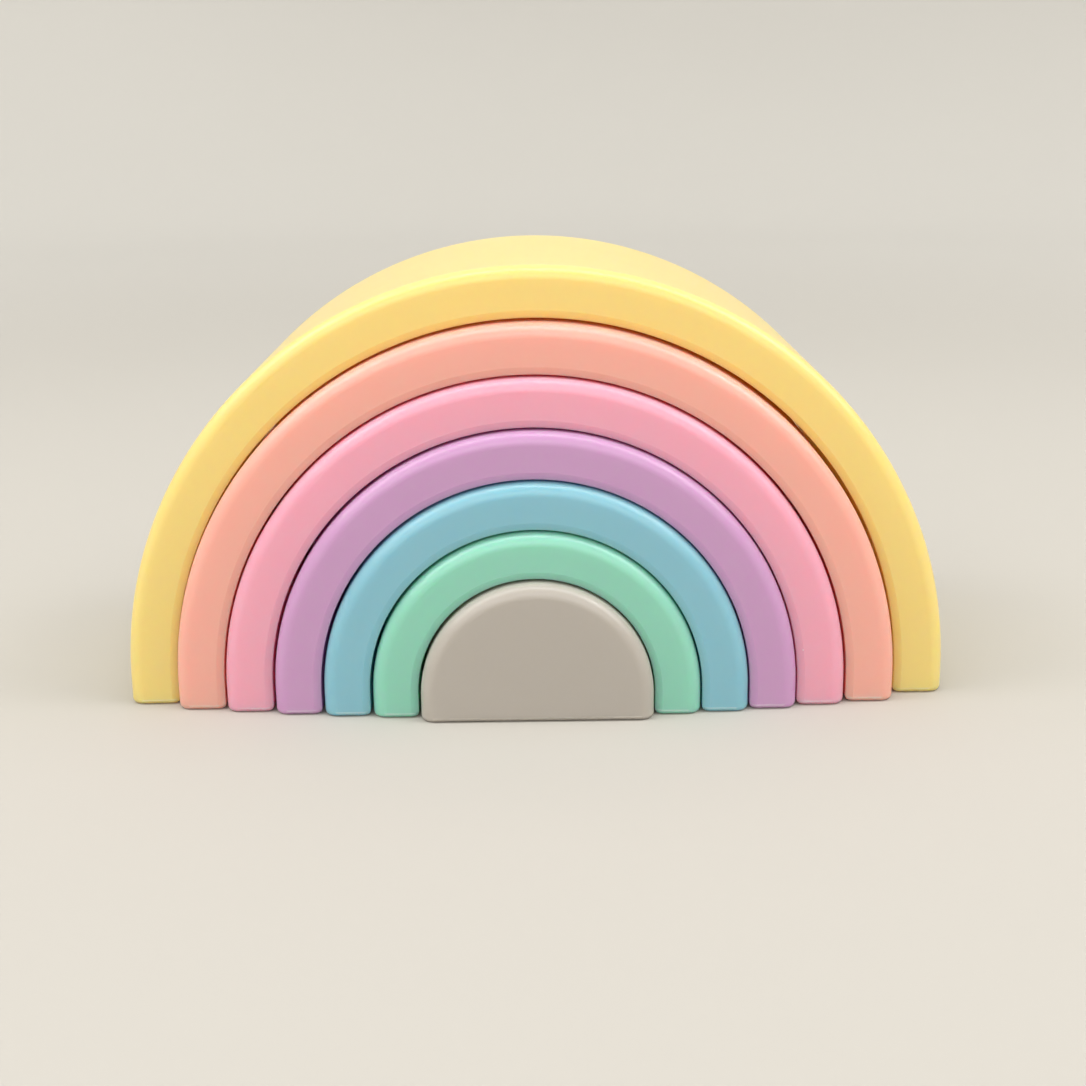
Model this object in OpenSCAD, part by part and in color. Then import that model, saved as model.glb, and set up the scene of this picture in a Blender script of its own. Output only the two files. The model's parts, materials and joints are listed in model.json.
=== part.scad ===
// Nesting rainbow stacker in moulded silicone: six arches and a solid half-disc.
// X runs across the rainbow, Y from front to back and Z up. The front faces -Y.
// The origin is under the middle of the nest, on the surface that it stands on.
// The pieces share one arc centre and one length, and each smaller piece has
// been pushed a little further forward than the one around it.

/* [Nest] */
// Outer radius of the largest arch
outer_r = 70; // [62:0.5:90]
// Length of every piece from front to back
depth = 60; // [40:0.5:90]
// Height of the arcs' common centre above the table
foot_h = 4.1; // [3:0.1:12]
// Radial gap between one piece and the next
gap = 0.5; // [0.3:0.05:1.5]
// How far the half-disc stands forward of the largest arch
forward = 11; // [0:0.2:30]

/* [Walls] */
// Wall of the yellow arch
yellow_wall = 8.45; // [6:0.05:11]
// Wall of the peach arch
peach_wall = 8.2; // [6:0.05:11]
// Wall of the pink arch
pink_wall = 7.95; // [6:0.05:11]
// Wall of the lilac arch
lilac_wall = 7.8; // [6:0.05:11]
// Wall of the blue arch
blue_wall = 7.7; // [6:0.05:11]
// Wall of the mint arch
mint_wall = 7.6; // [6:0.05:11]

/* [Edges] */
// Radius of the soft outer edge of the front and back faces
edge_round = 2.2; // [0.5:0.1:3]
// Bevel along the inner edges and under the front and back of the feet
edge_bevel = 1.2; // [0.4:0.05:2]
// Radius of the feet's lower corners, seen from the front
foot_round = 1.3; // [0.4:0.05:2]

/* [Hidden] */
$fn = 128;
half_turn = 180;
// How far an outline runs past the solid that it trims
overrun = 1;

// Walls from the outermost arch inwards
walls = [yellow_wall, peach_wall, pink_wall, lilac_wall, blue_wall, mint_wall];
half_disc = len(walls);
// How far forward each piece stands, as a share of the half-disc's stand
forward_share = [0, 0.32, 0.45, 0.59, 0.69, 0.77, 1];
// How far the middle of each piece stands to the right, as a share of the gap
lean_share = [0, 0, -0.1, 0.1, 0.3, 0.5, 0.7];
// How far the front ends of the six inner pieces, turned together inside the
// largest arch, stand to the right of their middles, as a share of the gap
turn_share = -0.5;
inner_turn = asin(turn_share * gap / (depth / 2));

// Outer and inner radius of piece i, counted from the outermost
function outer_radius(i) = i == 0 ? outer_r : inner_radius(i - 1) - gap;
function inner_radius(i) = i == half_disc ? 0 : outer_radius(i) - walls[i];

// Section of a wall from inner_x out to outer_x: the inner corners are bevelled
// and the outer corners are round. Y runs from the front to the back face.
module wall_section(inner_x, outer_x, bevel) {
    round_x = outer_x - edge_round;
    polygon([
        [inner_x, bevel - depth / 2],
        [inner_x + bevel, -depth / 2],
        [round_x, -depth / 2],
        [round_x, depth / 2],
        [inner_x + bevel, depth / 2],
        [inner_x, depth / 2 - bevel]
    ]);
    translate([round_x, edge_round - depth / 2])
        square([edge_round, depth - 2 * edge_round]);
    for (side = [-1, 1])
        translate([round_x, side * (depth / 2 - edge_round)])
            circle(edge_round);
}

// Front view of a foot from x0 to x1, with round lower corners
module foot_front(x0, x1) {
    translate([x0, foot_round])
        square([x1 - x0, foot_h + overrun - foot_round]);
    translate([x0 + foot_round, 0])
        square([x1 - x0 - 2 * foot_round, foot_h + overrun]);
    for (x = [x0 + foot_round, x1 - foot_round])
        translate([x, foot_round])
            circle(foot_round);
}

// Side view of a foot, with bevelled lower corners
module foot_side() {
    polygon([
        [-depth / 2, foot_h + overrun],
        [-depth / 2, edge_bevel],
        [edge_bevel - depth / 2, 0],
        [depth / 2 - edge_bevel, 0],
        [depth / 2, edge_bevel],
        [depth / 2, foot_h + overrun]
    ]);
}

// A foot is what its plan, the child, has in common with its front and side views
module foot(x0, x1) {
    intersection() {
        linear_extrude(foot_h)
            children();
        rotate([90, 0, 0])
            linear_extrude(depth + 2 * overrun, center = true)
                foot_front(x0, x1);
        rotate([90, 0, 90])
            translate([0, 0, x0 - overrun])
                linear_extrude(x1 - x0 + 2 * overrun)
                    foot_side();
    }
}

// Half turn of a wall section about the arcs' common centre line
module half_ring(inner_x, outer_x, bevel) {
    translate([0, 0, foot_h])
        rotate([90, 0, 0])
            rotate_extrude(angle = half_turn)
                wall_section(inner_x, outer_x, bevel);
}

// An arch with its two feet
module arch(inner_x, outer_x) {
    half_ring(inner_x, outer_x, edge_bevel);
    for (side = [0, 1])
        mirror([side, 0, 0])
            foot(inner_x, outer_x)
                wall_section(inner_x, outer_x, edge_bevel);
}

// A solid half-disc on a straight base
module half_round(radius) {
    half_ring(0, radius, 0);
    foot(-radius, radius)
        for (side = [0, 1])
            mirror([side, 0, 0])
                wall_section(0, radius, 0);
}

// Puts piece i where it stands in the nest
module placed(i) {
    translate([lean_share[i] * gap, (1 / 2 - forward_share[i]) * forward, 0])
        rotate([0, 0, i == 0 ? 0 : inner_turn])
            children();
}

// Arch i, counted from the outermost, where it stands in the nest
module nested_arch(i) {
    placed(i)
        arch(inner_radius(i), outer_radius(i));
}

module yellow_arch() {
    color("#f5d67f") nested_arch(0);
}

module peach_arch() {
    color("#f9ac97") nested_arch(1);
}

module pink_arch() {
    color("#f1a2b4") nested_arch(2);
}

module lilac_arch() {
    color("#c69abf") nested_arch(3);
}

module blue_arch() {
    color("#8abccb") nested_arch(4);
}

module mint_arch() {
    color("#93d2b2") nested_arch(5);
}

module grey_half_disc() {
    color("#b8b0a4") placed(half_disc) half_round(outer_radius(half_disc));
}

yellow_arch();
peach_arch();
pink_arch();
lilac_arch();
blue_arch();
mint_arch();
grey_half_disc();
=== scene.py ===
"""Dresses the nesting rainbow stacker: six arches and a half-disc of moulded silicone in a pale studio.

Lengths are in metres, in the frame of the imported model: X across the rainbow, -Y to the front, Z up.
"""

import json
import logging
import math
from collections.abc import Callable
from dataclasses import dataclass, field
from enum import Enum

import bmesh
import bpy
from mathutils import Color, Matrix, Vector

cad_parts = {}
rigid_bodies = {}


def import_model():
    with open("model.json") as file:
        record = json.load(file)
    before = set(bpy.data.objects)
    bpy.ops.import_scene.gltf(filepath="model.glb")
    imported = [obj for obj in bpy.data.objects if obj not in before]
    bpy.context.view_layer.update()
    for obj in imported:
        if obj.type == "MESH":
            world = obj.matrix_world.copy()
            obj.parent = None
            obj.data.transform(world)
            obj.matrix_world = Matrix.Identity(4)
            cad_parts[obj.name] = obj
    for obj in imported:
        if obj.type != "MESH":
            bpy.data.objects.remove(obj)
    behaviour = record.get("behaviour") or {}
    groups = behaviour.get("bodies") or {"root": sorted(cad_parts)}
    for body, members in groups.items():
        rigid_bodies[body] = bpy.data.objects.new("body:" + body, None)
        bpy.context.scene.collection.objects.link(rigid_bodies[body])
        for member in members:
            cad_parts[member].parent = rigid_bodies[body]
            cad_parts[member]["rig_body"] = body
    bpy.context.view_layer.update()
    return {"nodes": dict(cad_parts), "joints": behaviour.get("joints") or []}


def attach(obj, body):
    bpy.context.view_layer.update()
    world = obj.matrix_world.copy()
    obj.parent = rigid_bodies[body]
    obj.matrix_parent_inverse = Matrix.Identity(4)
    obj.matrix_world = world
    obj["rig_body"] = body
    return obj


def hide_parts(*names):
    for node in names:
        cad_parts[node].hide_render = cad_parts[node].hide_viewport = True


MM = 0.001
# Two places that are closer than this are the same place
NEAR = 0.01 * MM
# The value that noise lies around
NOISE_MIDDLE = 0.5
# The way to the front for a piece that isn't turned
STRAIGHT_AHEAD = (0.0, -1.0, 0.0)
# The attribute that says how far a point stands up on the lip of a foot, which masks the lip's pale flash
# and painted highlight
LIP = "lip"
LOG = logging.getLogger("rainbow")

Colour = tuple[float, float, float, float]


class End(Enum):
    """The two flat ends of a piece, by the way that each faces along Y."""

    FRONT = -1
    BACK = 1


class Element(Enum):
    """What a selection on the bench is made of."""

    VERTS = "VERT"
    EDGES = "EDGE"
    FACES = "FACE"


def linear(code: str) -> Colour:
    """Turns a colour written as #rrggbb into the linear values that a shader takes."""
    written = Color(int(code[at:at + 2], 16) / 255 for at in (1, 3, 5))
    return (*written.from_srgb_to_scene_linear(), 1.0)


class Wire:
    """A node's output that takes part in sums: each operator adds the Math node that it stands for."""

    def __init__(self, sheet: "NodeSheet", socket: bpy.types.NodeSocket) -> None:
        """Keeps the output and the sheet that it is on."""
        self.sheet = sheet
        self.socket = socket

    def _sum(self, operation: str, first: "Wire | float", second: "Wire | float") -> "Wire":
        """Adds one Math node with these two terms."""
        return self.sheet.node("ShaderNodeMath", {"operation": operation}, {0: first, 1: second})

    def __add__(self, other: "Wire | float") -> "Wire":
        """Sum of two values."""
        return self._sum("ADD", self, other)

    def __radd__(self, other: float) -> "Wire":
        """Sum with a number on the left."""
        return self._sum("ADD", other, self)

    def __sub__(self, other: "Wire | float") -> "Wire":
        """Difference of two values."""
        return self._sum("SUBTRACT", self, other)

    def __rsub__(self, other: float) -> "Wire":
        """Difference with a number on the left."""
        return self._sum("SUBTRACT", other, self)

    def __mul__(self, other: "Wire | float") -> "Wire":
        """Product of two values."""
        return self._sum("MULTIPLY", self, other)

    def __rmul__(self, other: float) -> "Wire":
        """Product with a number on the left."""
        return self._sum("MULTIPLY", other, self)

    def __lt__(self, other: "Wire | float") -> "Wire":
        """One where this value is the smaller, else zero."""
        return self._sum("LESS_THAN", self, other)

    def __gt__(self, other: "Wire | float") -> "Wire":
        """One where this value is the larger, else zero."""
        return self._sum("GREATER_THAN", self, other)


@dataclass
class NodeSheet:
    """The node tree of one material or world, which starts empty."""

    tree: bpy.types.NodeTree

    def __post_init__(self) -> None:
        """Clears the nodes that Blender puts there."""
        self.tree.nodes.clear()

    def node(
        self,
        kind: str,
        settings: dict[str, object] | None = None,
        sockets: dict[str | int, object] | None = None,
        outlet: str | int = 0,
    ) -> Wire | None:
        """Adds a node.

        Args:
            kind: the node's type.
            settings: the node's own values, set before its sockets.
            sockets: a value or a wire for each input, by name or number.
            outlet: the output to hand back, by name or number.

        Returns:
            The chosen output, or None from a node that has none.
        """
        made = self.tree.nodes.new(kind)
        for name, value in (settings or {}).items():
            setattr(made, name, value)
        for key, value in (sockets or {}).items():
            if isinstance(value, Wire):
                self.tree.links.new(value.socket, made.inputs[key])
            else:
                made.inputs[key].default_value = value
        return Wire(self, made.outputs[outlet]) if made.outputs else None

    def blend(self, share: Wire, first: "Wire | Colour", second: "Wire | Colour") -> Wire:
        """Mixes two colours.

        Args:
            share: how much of the second colour shows, from 0 to 1.
            first: the colour where the share is 0.
            second: the colour where the share is 1.

        Returns:
            The mixed colour.
        """
        # The Mix node has its sockets' names once for each kind of data, so they go by number
        factor, colour_a, colour_b, colour_out = 0, 6, 7, 2
        sockets = {factor: share, colour_a: first, colour_b: second}
        return self.node("ShaderNodeMix", {"data_type": "RGBA"}, sockets, colour_out)

    def cloud(self, place: Wire, size: float, detail: float = 2.0) -> Wire:
        """Makes soft noise around 0.5.

        Args:
            place: the coordinates.
            size: the length over which the noise changes.
            detail: how many finer octaves are added.

        Returns:
            The noise value.
        """
        return self.node("ShaderNodeTexNoise", None, {"Vector": place, "Scale": 1 / size, "Detail": detail})

    def ramp(self, value: Wire, low: float, high: float) -> Wire:
        """Makes a smooth step.

        Args:
            value: what is measured.
            low: the value at which the step is 0.
            high: the value at which the step is 1.

        Returns:
            The step, from 0 to 1.
        """
        return self.node(
            "ShaderNodeMapRange",
            {"interpolation_type": "SMOOTHSTEP"},
            {"Value": value, "From Min": low, "From Max": high},
        )


@dataclass(frozen=True)
class SiliconeFinish:
    """Solid coloured silicone with the satin skin of a sandblasted mould.

    Attributes:
        slot: the record's material slot.
        body: the colour.
        glow: how far red, green and blue light run under the skin, counted in depth.
        heart: the colour of the light that comes through a wall.
        lip: the paler colour of the thin lip on the feet, partly its pale trimmed flash and partly a
            painted highlight along its crest.
        depth: the length that glow is counted in.
        passing: the share of the light that comes through.
        roughness: the roughness of the skin.
        ior: the refraction of silicone.
        shine: how much the skin reflects.
        deep_tone: the darkest tone beside the colour.
        cloud_size: the length over which the tone changes softly.
        cloud_detail: how many finer octaves the clouds have.
        cloud_share: how much of the change of tone is clouds, where the rest is grain.
        cloud_gloss: how much the roughness changes with the clouds.
        grain_size: the size of the grain that the mould leaves.
        grain_detail: how many finer octaves the grain has.
        grain_gloss: how much the roughness changes with the grain.
        grain_height: the height of the grain.
        grain_strength: how much of that height shows.
        lip_pale: how much of the lip's colour shows on its top, partly the pale trimmed flash and partly a
            painted highlight.
        lint_tint: the colour of a speck of dust.
        lint_cell: the size of the cells that may hold a speck.
        lint_size: the radius of a speck.
        lint_draw: the random draw above which a cell holds one.
    """

    slot: str
    body: str
    glow: tuple[float, float, float]
    heart: str
    lip: str
    depth: float = 1.5 * MM
    passing: float = 0.2
    roughness: float = 0.3
    ior: float = 1.41
    shine: float = 1.0
    deep_tone: float = 0.97
    cloud_size: float = 14 * MM
    cloud_detail: float = 3.0
    cloud_share: float = 0.7
    cloud_gloss: float = 0.05
    grain_size: float = 0.35 * MM
    grain_detail: float = 2.0
    grain_gloss: float = 0.025
    grain_height: float = 0.02 * MM
    grain_strength: float = 0.04
    lip_pale: float = 0.6
    lint_tint: str = "#f6f2ea"
    lint_cell: float = 9 * MM
    lint_size: float = 0.11 * MM
    lint_draw: float = 0.6

    def material(self) -> bpy.types.Material:
        """Builds the material.

        Returns:
            A material whose tone, gloss and grain vary over the piece.
        """
        made = bpy.data.materials.new(self.slot)
        made.use_nodes = True
        sheet = NodeSheet(made.node_tree)
        place = sheet.node("ShaderNodeTexCoord", outlet="Object")
        cloud = sheet.cloud(place, self.cloud_size, self.cloud_detail)
        grain = sheet.cloud(place, self.grain_size, self.grain_detail)
        lint = self._lint(sheet, place)
        lip = sheet.node("ShaderNodeAttribute", {"attribute_name": LIP}, outlet="Fac")
        body = linear(self.body)
        deep = (*(self.deep_tone * part for part in body[:3]), 1.0)
        tone = sheet.blend(self.cloud_share * cloud + (1 - self.cloud_share) * grain, body, deep)
        # The lip's crest is painted paler: partly its pale trimmed flash, partly a painted highlight where
        # the crest catches the light.
        tone = sheet.blend(self.lip_pale * lip, tone, linear(self.lip))
        tone = sheet.blend(lint, tone, linear(self.lint_tint))
        cloudy = self.cloud_gloss * (cloud - NOISE_MIDDLE)
        grainy = self.grain_gloss * (grain - NOISE_MIDDLE)
        gloss = self.roughness + cloudy + grainy
        skin = sheet.node(
            "ShaderNodeBump",
            None,
            {"Strength": self.grain_strength, "Distance": self.grain_height, "Height": grain + lint},
        )
        shell = sheet.node(
            "ShaderNodeBsdfPrincipled",
            {"subsurface_method": "RANDOM_WALK"},
            {
                "Base Color": tone,
                "Roughness": gloss,
                "Normal": skin,
                "IOR": self.ior,
                "Specular IOR Level": self.shine,
                "Subsurface Weight": 1.0,
                "Subsurface Radius": self.glow,
                "Subsurface Scale": self.depth,
            },
        )
        heart = sheet.node("ShaderNodeBsdfTranslucent", None, {"Color": linear(self.heart), "Normal": skin})
        shader = sheet.node("ShaderNodeMixShader", None, {0: self.passing, 1: shell, 2: heart})
        sheet.node("ShaderNodeOutputMaterial", None, {"Surface": shader})
        return made

    def _lint(self, sheet: NodeSheet, place: Wire) -> Wire:
        """Scatters a few specks of dust.

        Args:
            sheet: the material's nodes.
            place: the coordinates.

        Returns:
            One on a speck, else zero.
        """
        sockets = {"Vector": place, "Scale": 1 / self.lint_cell}
        reach = sheet.node("ShaderNodeTexVoronoi", None, sockets, "Distance")
        lot = sheet.node("ShaderNodeTexVoronoi", None, sockets, "Color")
        return (reach < self.lint_size / self.lint_cell) * (lot > self.lint_draw)


class Bench:
    """A piece in edit mode, where elements are selected by their place."""

    def __init__(self, piece: bpy.types.Object) -> None:
        """Keeps the piece that is worked on."""
        self.piece = piece

    def __enter__(self) -> "Bench":
        """Starts editing the piece alone.

        Returns:
            The bench.
        """
        bpy.ops.object.select_all(action="DESELECT")
        self.piece.select_set(True)
        bpy.context.view_layer.objects.active = self.piece
        bpy.ops.object.mode_set(mode="EDIT")
        return self

    def __exit__(self, *_: object) -> None:
        """Goes back to object mode."""
        bpy.ops.object.mode_set(mode="OBJECT")

    def all(self) -> None:
        """Selects the whole mesh."""
        bpy.ops.mesh.select_mode(type=Element.FACES.value)
        bpy.ops.mesh.select_all(action="SELECT")

    def pick(self, element: Element, test: Callable[[list[Vector]], bool]) -> None:
        """Selects the elements whose corners pass a test.

        Args:
            element: what is selected.
            test: takes the corners of an element and says whether it is picked.
        """
        bpy.ops.mesh.select_mode(type=element.value)
        bpy.ops.mesh.select_all(action="DESELECT")
        mesh = bmesh.from_edit_mesh(self.piece.data)
        pool = {Element.VERTS: mesh.verts, Element.EDGES: mesh.edges, Element.FACES: mesh.faces}[element]
        for item in pool:
            corners = [item.co] if element is Element.VERTS else [corner.co for corner in item.verts]
            if test(corners):
                item.select_set(True)
        mesh.select_flush_mode()
        bmesh.update_edit_mesh(self.piece.data)


@dataclass
class Moulding:
    """A solid piece with a half-round back, flat ends and a flat sole.

    Attributes:
        node: the CAD node that the piece stands for.
        finish: the silicone that it is moulded in.
        turn: the angle about Z at which it lies in the nest.
        seed: the number that its uneven lips are drawn from.
        snug: how much larger its radius is than the CAD's, for thin gaps.
        edge_round: the radius of the outer edges of the ends.
        sole_ease: how far the edges of the sole are rounded off.
        heel_ease: how far they are rounded off along an opening.
        lip_height: how far the lip of the mould stands out along the lower edge of an end.
        lip_width: the width of that lip.
        lip_wander: how uneven it is.
        lip_step: the distance between two points of it.
        lip_run: the length above which an edge is divided for it.
        soft_edge: how far the sharpness of all other edges is taken off.
        soft_angle: the angle between two faces above which their edge counts as sharp.
        arc_steps: how many flats the half-round back has.
        round_steps: how many flats the outer edges have.
        sole_steps: how many flats the edges of the sole have.
        soft_steps: how many flats the softened edges have.
        corners: the CAD node's corners, turned back square to the axes.
        low: the lowest corner of their box.
        high: the highest corner of their box.
    """

    node: bpy.types.Object
    finish: SiliconeFinish
    turn: float
    seed: int
    snug: float
    edge_round: float = 2.2 * MM
    sole_ease: float = 0.8 * MM
    heel_ease: float = 1.3 * MM
    lip_height: float = 0.1 * MM
    lip_width: float = 0.15 * MM
    lip_wander: float = 0.05 * MM
    lip_step: float = 0.4 * MM
    lip_run: float = 3 * MM
    soft_edge: float = 0.1 * MM
    soft_angle: float = math.radians(32)
    arc_steps: int = 128
    round_steps: int = 10
    sole_steps: int = 3
    soft_steps: int = 2
    corners: list[Vector] = field(init=False)
    low: Vector = field(init=False)
    high: Vector = field(init=False)

    def __post_init__(self) -> None:
        """Takes the piece's reach from its CAD node, turned back square to the axes."""
        square = Matrix.Rotation(-self.turn, 3, "Z")
        self.corners = [square @ vert.co for vert in self.node.data.vertices]
        self.low = Vector(map(min, *self.corners))
        self.high = Vector(map(max, *self.corners))

    @property
    def middle(self) -> float:
        """Middle of the piece across the rainbow."""
        return (self.low.x + self.high.x) / 2

    @property
    def outer_r(self) -> float:
        """Radius of the round back."""
        return (self.high.x - self.low.x) / 2 + self.snug

    @property
    def axis_z(self) -> float:
        """Height of the centre of the round back."""
        return self.high.z + self.snug - self.outer_r

    def end_y(self, end: End) -> float:
        """Place along Y of a flat end, which lies below its lip."""
        outside = self.low.y if end is End.FRONT else self.high.y
        return outside - end.value * (self.lip_height + self.lip_wander)

    def reach(self, corner: Vector) -> float:
        """Distance from the middle line: round the arc's centre above it, and straight below it."""
        across = abs(corner.x - self.middle)
        return math.hypot(across, corner.z - self.axis_z) if corner.z > self.axis_z else across

    def on_end(self, corners: list[Vector], end: End) -> bool:
        """Says whether all corners lie on a flat end."""
        return all(abs(corner.y - self.end_y(end)) < NEAR for corner in corners)

    def build(self) -> bpy.types.Object:
        """Models the piece and puts it in the place of its CAD node.

        Returns:
            The finished piece.
        """
        piece = self._disc()
        with Bench(piece) as bench:
            self._open_middle(bench)
            self._stand(bench)
            self._thicken(bench)
            self._shape_edges(bench)
        self._ease_sole(piece)
        self._soften(piece)
        with Bench(piece) as bench:
            self._outline_ends(bench)
            for end in End:
                self._raise_lip(bench, end)
        self._mark_lip(piece)
        self._smooth(piece)
        self._place(piece)
        self._dress(piece)
        return piece

    def _disc(self) -> bpy.types.Object:
        """Lays down the full disc that the front is cut from.

        Returns:
            The piece, which is flat so far.
        """
        bpy.ops.object.select_all(action="DESELECT")
        bpy.ops.mesh.primitive_circle_add(
            vertices=2 * self.arc_steps,
            radius=self.outer_r,
            fill_type="NGON",
            location=(self.middle, self.end_y(End.FRONT), self.axis_z),
            rotation=(math.pi / 2, 0, 0),
        )
        bpy.ops.object.transform_apply(location=True, rotation=True, scale=True)
        piece = bpy.context.object
        piece.name = f"{self.node.name}_moulding"
        return piece

    def _open_middle(self, bench: Bench) -> None:
        """Parts the disc into a rim and a middle, which stays solid."""
        bench.all()
        bpy.ops.mesh.inset(thickness=2 * self.edge_round)

    def _stand(self, bench: Bench) -> None:
        """Keeps the upper half and draws its straight edges down to the sole.

        Args:
            bench: the piece that is worked on.
        """
        bench.all()
        bpy.ops.mesh.bisect(
            plane_co=(self.middle, self.end_y(End.FRONT), self.axis_z),
            plane_no=(0, 0, 1),
            clear_inner=True,
            threshold=NEAR,
        )
        bench.pick(Element.EDGES, lambda ends: all(abs(c.z - self.axis_z) < NEAR for c in ends))
        bpy.ops.mesh.extrude_region_move(TRANSFORM_OT_translate={"value": (0, 0, -self.axis_z)})

    def _thicken(self, bench: Bench) -> None:
        """Draws the front back to the full length of the piece.

        Args:
            bench: the piece that is worked on.
        """
        bench.all()
        length = self.end_y(End.BACK) - self.end_y(End.FRONT)
        bpy.ops.mesh.extrude_region_move(TRANSFORM_OT_translate={"value": (0, length, 0)})
        bench.all()
        bpy.ops.mesh.normals_make_consistent(inside=False)

    def _pick_rim(self, bench: Bench, radius: float) -> None:
        """Selects the edges of both ends that lie at a radius.

        Args:
            bench: the piece that is worked on.
            radius: the distance from the middle line.
        """
        bench.pick(
            Element.EDGES,
            lambda ends: any(self.on_end(ends, end) for end in End)
            and all(abs(self.reach(corner) - radius) < NEAR for corner in ends),
        )

    def _shape_edges(self, bench: Bench) -> None:
        """Rounds the outer edges of the ends."""
        self._pick_rim(bench, self.outer_r)
        bpy.ops.mesh.bevel(
            offset=self.edge_round, segments=self.round_steps, affect="EDGES", clamp_overlap=False
        )

    def ease_of(self, ends: list[Vector]) -> float:
        """How far an edge of the sole is rounded off."""
        return self.sole_ease

    def _ease_sole(self, piece: bpy.types.Object) -> None:
        """Rounds the edges of the sole, each by its own amount.

        Args:
            piece: the piece that is worked on.
        """
        mesh = piece.data
        weights = mesh.attributes.new("bevel_weight_edge", "FLOAT", "EDGE")
        for edge, weight in zip(mesh.edges, weights.data):
            ends = [mesh.vertices[number].co for number in edge.vertices]
            if all(abs(corner.z) < NEAR for corner in ends):
                weight.value = self.ease_of(ends) / self.heel_ease
        ease = piece.modifiers.new("eased_sole", "BEVEL")
        ease.width = self.heel_ease
        ease.segments = self.sole_steps
        ease.limit_method = "WEIGHT"
        ease.use_clamp_overlap = False
        bpy.ops.object.modifier_apply(modifier=ease.name)

    def _on_foot_lip(self, corner: Vector) -> bool:
        """Says whether a corner of a flat end lies on its lower edge."""
        return corner.z < self.sole_ease + self.lip_width / 2

    def _outline_ends(self, bench: Bench) -> None:
        """Parts a narrow band off round each end, and cuts all bands at the top of the foot lips.

        Args:
            bench: the piece that is worked on.
        """
        for end in End:
            bench.pick(Element.FACES, lambda corners: self.on_end(corners, end))
            bpy.ops.mesh.inset(thickness=self.lip_width)
        bench.all()
        lip_top = self.sole_ease + self.lip_width
        bpy.ops.mesh.bisect(plane_co=(0, 0, lip_top), plane_no=(0, 0, 1), threshold=NEAR)

    def _raise_lip(self, bench: Bench, end: End) -> None:
        """Raises the fine lip that the mould leaves along the lower edge of an end.

        Args:
            bench: the piece that is worked on.
            end: the end that gets its lip.
        """
        self._divide_sole_edge(bench, end)
        bench.pick(
            Element.VERTS,
            lambda corners: self.on_end(corners, end) and self._on_foot_lip(corners[0]),
        )
        bpy.ops.transform.translate(value=(0, end.value * self.lip_height, 0))
        bpy.ops.transform.vertex_random(offset=self.lip_wander, seed=self.seed)

    def _divide_sole_edge(self, bench: Bench, end: End) -> None:
        """Divides the strips along an end's lower edge, so that its lip can wander.

        Args:
            bench: the piece that is worked on.
            end: the end whose lower edge is divided.
        """
        highest = self.sole_ease + self.lip_width + NEAR
        deepest = self.sole_ease + NEAR

        def lies_across(ends: list[Vector]) -> bool:
            """Says whether an edge runs across the rainbow, low on this end.

            Args:
                ends: the two corners of the edge.

            Returns:
                True where it does.
            """
            run = ends[1] - ends[0]
            level = max(abs(run.y), abs(run.z)) < NEAR and abs(run.x) > self.lip_run
            at_end = abs(ends[0].y - self.end_y(end)) < deepest
            return level and at_end and ends[0].z < highest

        bench.pick(Element.EDGES, lies_across)
        width = self.foot_width - 2 * self.edge_round
        bpy.ops.mesh.subdivide(number_cuts=round(width / self.lip_step), ngon=True)

    @property
    def foot_width(self) -> float:
        """Width of a foot seen from the front."""
        return 2 * self.outer_r

    def _mark_lip(self, piece: bpy.types.Object) -> None:
        """Stores how far each point stands up on the lip.

        Args:
            piece: the piece that is worked on.
        """
        heights = piece.data.attributes.new(LIP, "FLOAT", "POINT")
        for vert, height in zip(piece.data.vertices, heights.data):
            rise = max(end.value * (vert.co.y - self.end_y(end)) for end in End)
            height.value = min(1.0, max(0.0, rise / self.lip_height))

    def _soften(self, piece: bpy.types.Object) -> None:
        """Takes the sharpness off the edges that are left.

        Args:
            piece: the piece that is worked on.
        """
        soften = piece.modifiers.new("soft_edges", "BEVEL")
        soften.width = self.soft_edge
        soften.segments = self.soft_steps
        soften.limit_method = "ANGLE"
        soften.angle_limit = self.soft_angle
        soften.use_clamp_overlap = False
        bpy.ops.object.modifier_apply(modifier=soften.name)

    def _smooth(self, piece: bpy.types.Object) -> None:
        """Shades the piece smooth, with the flat faces kept flat.

        Args:
            piece: the piece that is worked on.
        """
        bpy.ops.object.shade_smooth()
        weigh = piece.modifiers.new("flat_faces_first", "WEIGHTED_NORMAL")
        bpy.ops.object.modifier_apply(modifier=weigh.name)

    def _place(self, piece: bpy.types.Object) -> None:
        """Turns the piece to where it stands in the nest."""
        piece.rotation_euler.z = self.turn
        bpy.ops.object.transform_apply(location=True, rotation=True, scale=True)

    def _dress(self, piece: bpy.types.Object) -> None:
        """Gives the piece its finish and its body, and hides the node that it stands for.

        Args:
            piece: the piece that is worked on.
        """
        piece.data.materials.append(self.finish.material())
        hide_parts(self.node.name)
        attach(piece, self.node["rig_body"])


@dataclass
class Arch(Moulding):
    """A piece that the next smaller one nests under.

    Attributes:
        bevel_width: the width of the bevel along the inner edges, seen from an end.
        bevel_depth: how far that bevel goes into the opening.
        seam_height: how far the lip stands out along the bevel.
        inner_r: the radius of the opening.
    """

    bevel_width: float = 1.2 * MM
    bevel_depth: float = 0.5 * MM
    seam_height: float = 0.02 * MM
    inner_r: float = field(init=False)

    def __post_init__(self) -> None:
        """Takes the radius of the opening from the CAD node too."""
        super().__post_init__()
        self.inner_r = min(self.reach(corner) for corner in self.corners if corner.z > self.axis_z)

    @property
    def foot_width(self) -> float:
        """Width of one of the two feet seen from the front."""
        return self.outer_r - self.inner_r

    def _open_middle(self, bench: Bench) -> None:
        """Cuts the disc down to a ring as wide as the wall.

        Args:
            bench: the piece that is worked on.
        """
        bench.all()
        bpy.ops.mesh.inset(thickness=self.outer_r - self.inner_r)
        bpy.ops.mesh.delete(type="FACE")

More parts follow.
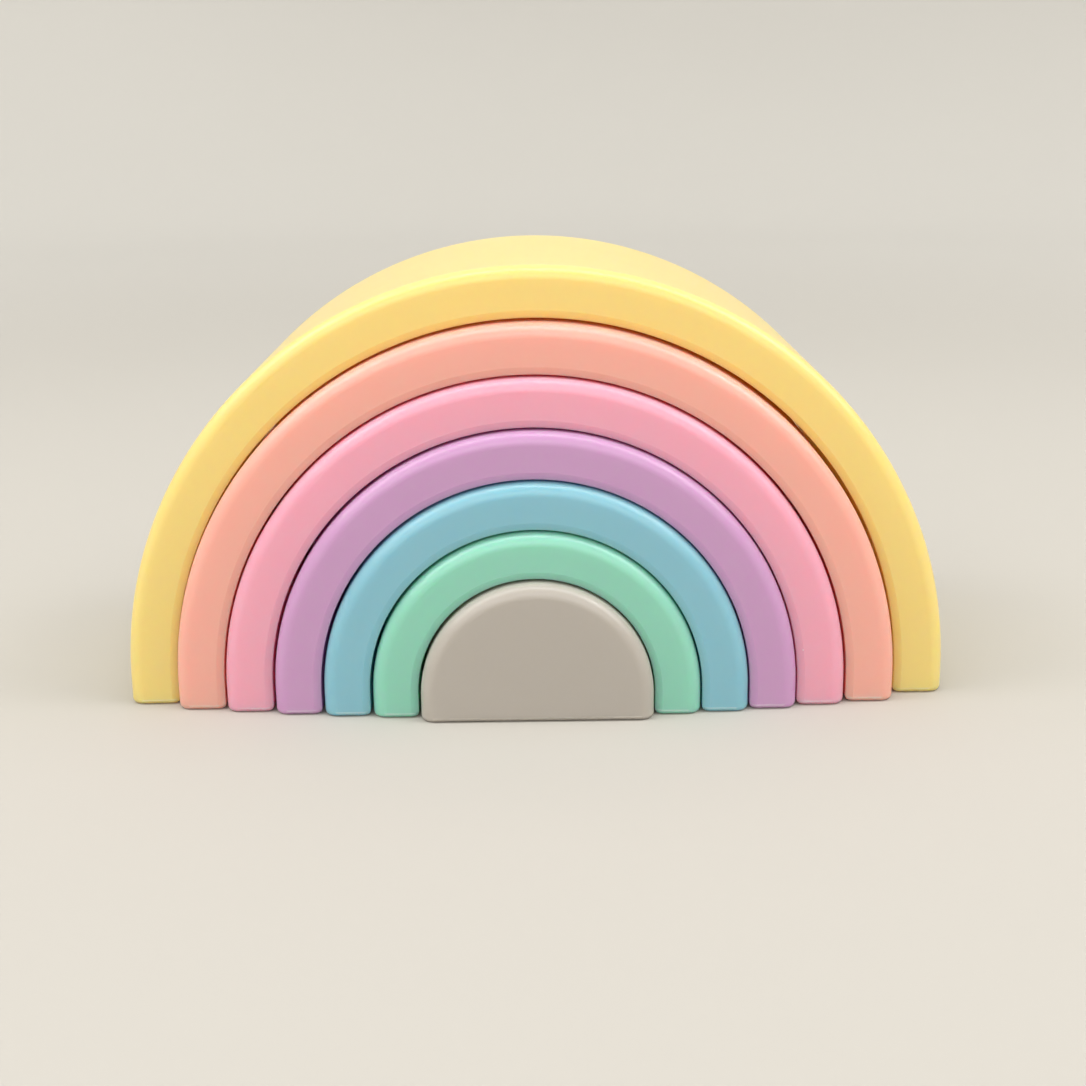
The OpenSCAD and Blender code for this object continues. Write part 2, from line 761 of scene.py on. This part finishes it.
    def _shape_edges(self, bench: Bench) -> None:
        """Bevels the inner edges of the ends before the rest.

        Args:
            bench: the piece that is worked on.
        """
        self._pick_rim(bench, self.inner_r)
        bpy.ops.mesh.bevel(offset=self.bevel_width, segments=1, affect="EDGES", clamp_overlap=False)
        for end in End:
            self._flatten_bevel(bench, end)
        super()._shape_edges(bench)

    def _flatten_bevel(self, bench: Bench, end: End) -> None:
        """Brings the deep side of an end's bevel closer to the end.

        Args:
            bench: the piece that is worked on.
            end: the end whose bevel becomes shallower.
        """
        deep_y = self.end_y(end) - end.value * self.bevel_width
        bench.pick(
            Element.VERTS,
            lambda corners: abs(corners[0].y - deep_y) < NEAR
            and abs(self.reach(corners[0]) - self.inner_r) < NEAR,
        )
        bpy.ops.transform.translate(value=(0, end.value * (self.bevel_width - self.bevel_depth), 0))

    def ease_of(self, ends: list[Vector]) -> float:
        """How far an edge of the sole is rounded off: most along the opening."""
        inside = all(abs(self.reach(corner) - self.inner_r) < NEAR for corner in ends)
        return self.heel_ease if inside else super().ease_of(ends)

    def _raise_lip(self, bench: Bench, end: End) -> None:
        """Carries the lip on, lower, round the inner edge.

        Args:
            bench: the piece that is worked on.
            end: the end that gets its lip.
        """
        super()._raise_lip(bench, end)
        seam_r = self.inner_r + self.bevel_width + self.soft_edge
        bench.pick(
            Element.VERTS,
            lambda corners: self.on_end(corners, end) and abs(self.reach(corners[0]) - seam_r) < NEAR,
        )
        bpy.ops.transform.translate(value=(0, end.value * self.seam_height, 0))


@dataclass(frozen=True)
class PhotoCamera:
    """The view of the photograph: place, turn and lens.

    Attributes:
        place: where the camera stands.
        yaw: how far it is turned to the right.
        pitch: how far it looks down.
        roll: how far it is tilted about its line of sight.
        focal_px: the focal length in pixels of the frame.
        frame_px: the width of the frame in pixels.
        sensor: the width of the sensor in millimetres.
        near: the distance from which things are seen.
    """

    place: tuple[float, float, float] = (0.3 * MM, -291.7 * MM, 101.2 * MM)
    yaw: float = math.radians(0.246)
    pitch: float = math.radians(15.345)
    roll: float = math.radians(0.816)
    focal_px: float = 1648.5
    frame_px: float = 1086.0
    sensor: float = 36.0
    near: float = 10 * MM

    def build(self) -> None:
        """Adds the camera and makes it the scene's."""
        data = bpy.data.cameras.new("photo_camera")
        data.sensor_width = self.sensor
        data.lens = self.sensor * self.focal_px / self.frame_px
        data.clip_start = self.near
        ahead = Vector((
            math.sin(self.yaw) * math.cos(self.pitch),
            math.cos(self.yaw) * math.cos(self.pitch),
            -math.sin(self.pitch),
        ))
        level = Vector((math.cos(self.yaw), -math.sin(self.yaw), 0))
        down = ahead.cross(level)
        right = math.cos(self.roll) * level + math.sin(self.roll) * down
        up = math.sin(self.roll) * level - math.cos(self.roll) * down
        turn = Matrix((right, up, -ahead)).transposed().to_4x4()
        camera = bpy.data.objects.new("photo_camera", data)
        camera.matrix_world = Matrix.Translation(self.place) @ turn
        bpy.context.scene.collection.objects.link(camera)
        bpy.context.scene.camera = camera


@dataclass(frozen=True)
class Lamp:
    """A soft box that points at the nest, or at a target of its own.

    Attributes:
        name: what the lamp is called.
        place: where it hangs.
        width: its width.
        height: its height.
        power: its power in watts.
        target: the place that it points at.
    """

    name: str
    place: tuple[float, float, float]
    width: float
    height: float
    power: float
    target: tuple[float, float, float] = (0.0, 0.0, 35 * MM)

    def build(self) -> None:
        """Hangs the lamp, which the camera doesn't see."""
        data = bpy.data.lights.new(self.name, "AREA")
        data.shape = "RECTANGLE"
        data.size = self.width
        data.size_y = self.height
        data.energy = self.power
        lamp = bpy.data.objects.new(self.name, data)
        lamp.location = self.place
        aim = Vector(self.target) - Vector(self.place)
        lamp.rotation_euler = aim.to_track_quat("-Z", "Y").to_euler()
        lamp.visible_camera = False
        bpy.context.scene.collection.objects.link(lamp)


@dataclass
class Studio:
    """A pale floor that turns up into a wall all round, soft lamps and an even sky.

    Attributes:
        floor_r: the radius of the room.
        wall_h: the height of the wall.
        cove_r: the radius of the bend between the floor and the wall.
        floor_steps: how many flats the wall has all round.
        cove_steps: how many flats the bend has.
        floor_tint: the colour of the paper under the nest.
        wall_tint: its paler colour on the far floor and the wall, painted light that brightens where less
            lamp light falls.
        pale_from: the distance from the nest at which the paper starts to turn paler with painted light.
        pale_to: the distance at which it has the full painted light tint.
        mottle: how much of a darker colour lies in soft clouds on the paper.
        mottle_size: the size of those clouds.
        mottle_tint: their colour.
        paper_roughness: the roughness of the paper.
        paper_shine: how much it reflects.
        sky_tint: the colour of the light from above.
        sky_strength: how strong that light is.
        lamps: the lamps.
    """

    floor_r: float = 1.5
    wall_h: float = 1.2
    cove_r: float = 0.6
    floor_steps: int = 96
    cove_steps: int = 16
    floor_tint: str = "#b4b0a8"
    wall_tint: str = "#cdcac3"
    pale_from: float = 0.35
    pale_to: float = 1.05
    mottle: float = 0.06
    mottle_size: float = 0.3
    mottle_tint: str = "#a8a296"
    paper_roughness: float = 0.8
    paper_shine: float = 0.1
    sky_tint: str = "#ffffff"
    sky_strength: float = 0.6
    lamps: tuple[Lamp, ...] = (
        Lamp("overhead_strip", place=(0.0, -0.1, 0.95), width=2.2, height=0.16, power=8.5),
        Lamp("front_box", place=(-0.1, -1.05, 0.55), width=2.6, height=0.6, power=8.9),
        Lamp("right_box", place=(0.9, -0.15, 0.75), width=0.9, height=0.6, power=5.0),
        Lamp("left_box", place=(-0.9, -0.15, 0.75), width=0.9, height=0.6, power=4.5),
        Lamp("back_box", place=(0.2, 1.05, 0.6), width=2.0, height=0.5, power=1.0),
        Lamp("wall_box", place=(0.0, 0.7, 1.1), width=1.8, height=0.4, power=1.8, target=(0.0, 1.1, 0.1)),
    )

    def build(self) -> None:
        """Sets up the room, the light and the colour view."""
        self._cove()
        for lamp in self.lamps:
            lamp.build()
        self._sky()
        bpy.context.scene.view_settings.view_transform = "Standard"

    def _cove(self) -> None:
        """Models the floor and its wall as one sweep."""
        bpy.ops.object.select_all(action="DESELECT")
        bpy.ops.mesh.primitive_circle_add(
            vertices=self.floor_steps, radius=self.floor_r, fill_type="NGON"
        )
        cove = bpy.context.object
        cove.name = "pale_cove"
        with Bench(cove) as bench:
            bench.pick(Element.EDGES, lambda ends: True)
            bpy.ops.mesh.extrude_region_move(TRANSFORM_OT_translate={"value": (0, 0, self.wall_h)})
            bench.pick(Element.FACES, lambda corners: all(corner.z > NEAR for corner in corners))
            bpy.ops.mesh.delete(type="FACE")
            bench.pick(Element.EDGES, lambda ends: all(abs(corner.z) < NEAR for corner in ends))
            bpy.ops.mesh.bevel(
                offset=self.cove_r, segments=self.cove_steps, affect="EDGES", clamp_overlap=False
            )
            bench.all()
            bpy.ops.mesh.normals_make_consistent(inside=True)
        bpy.ops.object.shade_smooth()
        cove.data.materials.append(self._paper())

    def _paper(self) -> bpy.types.Material:
        """Makes the matt pale finish of the floor and wall, painted paler away from the nest where less
        lamp light falls.

        Returns:
            The paper's material.
        """
        made = bpy.data.materials.new("pale_paper")
        made.use_nodes = True
        sheet = NodeSheet(made.node_tree)
        place = sheet.node("ShaderNodeTexCoord", outlet="Object")
        away = sheet.node("ShaderNodeVectorMath", {"operation": "LENGTH"}, {0: place}, "Value")
        # Painted light: the paper turns paler away from the nest, to make up for the lamp light that falls
        # off there.
        tone = sheet.blend(
            sheet.ramp(away, self.pale_from, self.pale_to),
            linear(self.floor_tint),
            linear(self.wall_tint),
        )
        clouds = sheet.cloud(place, self.mottle_size)
        tone = sheet.blend(self.mottle * clouds, tone, linear(self.mottle_tint))
        shader = sheet.node(
            "ShaderNodeBsdfPrincipled",
            None,
            {
                "Base Color": tone,
                "Roughness": self.paper_roughness,
                "Specular IOR Level": self.paper_shine,
            },
        )
        sheet.node("ShaderNodeOutputMaterial", None, {"Surface": shader})
        return made

    def _sky(self) -> None:
        """Lights the room evenly from above."""
        world = bpy.data.worlds.new("even_sky")
        world.use_nodes = True
        bpy.context.scene.world = world
        sheet = NodeSheet(world.node_tree)
        glow = sheet.node(
            "ShaderNodeBackground", None, {"Color": linear(self.sky_tint), "Strength": self.sky_strength}
        )
        sheet.node("ShaderNodeOutputWorld", None, {"Surface": glow})


# Each lip colour is partly the pale trimmed flash of the mould and partly a painted highlight.
FINISHES: dict[str, SiliconeFinish] = {
    "yellow_arch": SiliconeFinish(
        "yellow_silicone", body="#f1df8d", glow=(1.6, 1.2, 0.5), heart="#ffd070", lip="#fff3c4"
    ),
    "peach_arch": SiliconeFinish(
        "peach_silicone", body="#ffbbab", glow=(1.8, 0.8, 0.6), heart="#ff7450", lip="#ffd9cc"
    ),
    "pink_arch": SiliconeFinish(
        "pink_silicone", body="#f8b3c6", glow=(1.8, 0.7, 0.9), heart="#ff648a", lip="#fcd3de"
    ),
    "lilac_arch": SiliconeFinish(
        "lilac_silicone", body="#d3a6ce", glow=(1.4, 0.8, 1.3), heart="#c874d0", lip="#ead0e6"
    ),
    "blue_arch": SiliconeFinish(
        "blue_silicone", body="#93cad8", glow=(0.7, 1.2, 1.5), heart="#4cbad8", lip="#cbe9f0"
    ),
    "mint_arch": SiliconeFinish(
        "mint_silicone", body="#9bdbc5", glow=(0.7, 1.6, 1.0), heart="#4cdaa6", lip="#d3f5e2"
    ),
    "grey_half_disc": SiliconeFinish(
        "grey_silicone", body="#c3bcb3", glow=(1.0, 1.0, 0.9), heart="#c8bcaa", lip="#e3ddd4"
    ),
}


@dataclass
class Nest:
    """The whole rainbow: every arch and the half-disc inside the smallest.

    Attributes:
        nodes: the CAD nodes by name.
        joints: the slides that the pieces move on.
        snug: how much larger than the CAD's the radius of a piece is.
        loose: the pieces that keep the CAD's radius.
        solid: the piece that has no opening.
    """

    nodes: dict[str, bpy.types.Object]
    joints: list[dict]
    snug: float = 0.12 * MM
    loose: tuple[str, ...] = ("yellow_arch", "peach_arch")
    solid: str = "grey_half_disc"

    def turn_of(self, body: str) -> float:
        """Takes the angle about Z at which a body lies in the nest from the axis that it slides along.

        Args:
            body: the name of the body.

        Returns:
            The angle, which is zero for a body that doesn't slide.
        """
        axes = {joint["child"]: joint["axis"] for joint in self.joints}
        across, along, _ = axes.get(body, STRAIGHT_AHEAD)
        return math.atan2(across, -along)

    def build(self) -> None:
        """Models each piece where its CAD node lies and reports it."""
        for seed, (name, finish) in enumerate(FINISHES.items()):
            kind = Moulding if name == self.solid else Arch
            node = self.nodes[name]
            snug = 0.0 if name in self.loose else self.snug
            piece = kind(node, finish, self.turn_of(node["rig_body"]), seed, snug).build()
            LOG.info("%s: %d faces, %s", piece.name, len(piece.data.polygons), finish.slot)


def main() -> None:
    """Loads the frame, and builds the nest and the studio."""
    logging.basicConfig(level=logging.INFO, format="%(name)s: %(message)s")
    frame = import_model()
    Nest(frame["nodes"], frame["joints"]).build()
    Studio().build()
    PhotoCamera().build()


if __name__ == "__main__":
    main()
